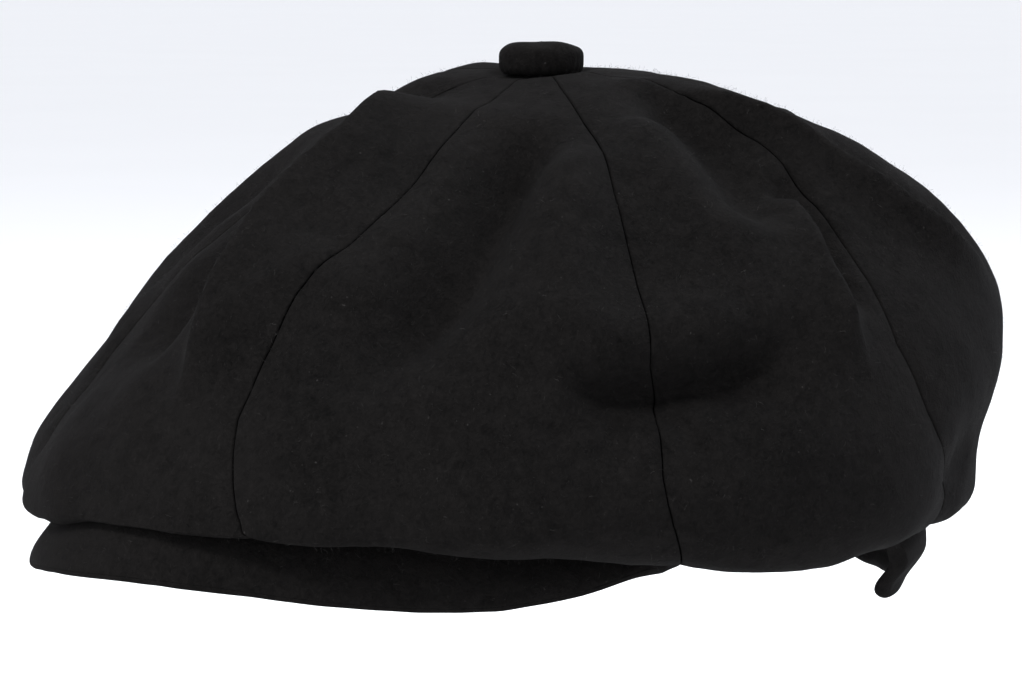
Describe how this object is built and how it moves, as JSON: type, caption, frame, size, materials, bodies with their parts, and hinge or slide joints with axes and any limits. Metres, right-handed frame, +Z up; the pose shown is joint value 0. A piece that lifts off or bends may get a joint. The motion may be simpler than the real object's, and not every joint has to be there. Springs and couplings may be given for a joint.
{
  "type": "newsboy cap",
  "caption": "Soft panelled newsboy cap in dark wool, full crown gathered to a head band, with a covered button, a short stiff visor and a fold-down neck flap.",
  "frame": {"origin": "centre of the head opening, on the plane of the band's lower rim", "axes": "+Z up out of the head opening through the button, -Y the way the visor points, +X the wearer's left"},
  "size_m": [0.2506, 0.271, 0.148],
  "materials": {
    "wool_cloth": "matt brushed wool melton, near black",
    "lining": "plain satin lining, black",
    "sweatband": "ribbed cotton tape, black",
    "interlining": "stiff woven buckram, undyed",
    "visor_board": "flexible plastic sheet",
    "fleece": "short-pile fleece, black",
    "button_metal": "pressed sheet, plain",
    "label": "blank woven label, dark grey"
  },
  "bodies": {
    "cap": {"crown_panel_front": "wool_cloth", "crown_panel_front_left": "wool_cloth", "crown_panel_left": "wool_cloth", "crown_panel_back_left": "wool_cloth", "crown_panel_back": "wool_cloth", "crown_panel_back_right": "wool_cloth", "crown_panel_right": "wool_cloth", "crown_panel_front_right": "wool_cloth", "lining_front": "lining", "lining_left": "lining", "lining_back": "lining", "lining_right": "lining", "headband_facing": "wool_cloth", "headband_interlining": "interlining", "sweatband": "sweatband", "button_cover": "wool_cloth", "button_shell": "button_metal", "button_back": "button_metal", "button_washer": "button_metal", "lining_label": "label"},
    "visor": {"visor_board": "visor_board", "visor_top_cloth": "wool_cloth", "visor_under_cloth": "wool_cloth"},
    "neck_flap": {"neck_flap_cloth": "wool_cloth", "neck_flap_fleece": "fleece"}
  },
  "joints": [
    {"name": "visor_flex", "type": "hinge", "parent": "cap", "child": "visor", "pos_m": [0, -0.022, 0.003], "axis": [1, 0, 0], "range_deg": [0, 6], "stiffness_Nm_per_rad": 1.5},
    {"name": "neck_flap_drop", "type": "slide", "parent": "cap", "child": "neck_flap", "axis": [0, 0, -1], "range_m": [0, 0.028]}
  ]
}
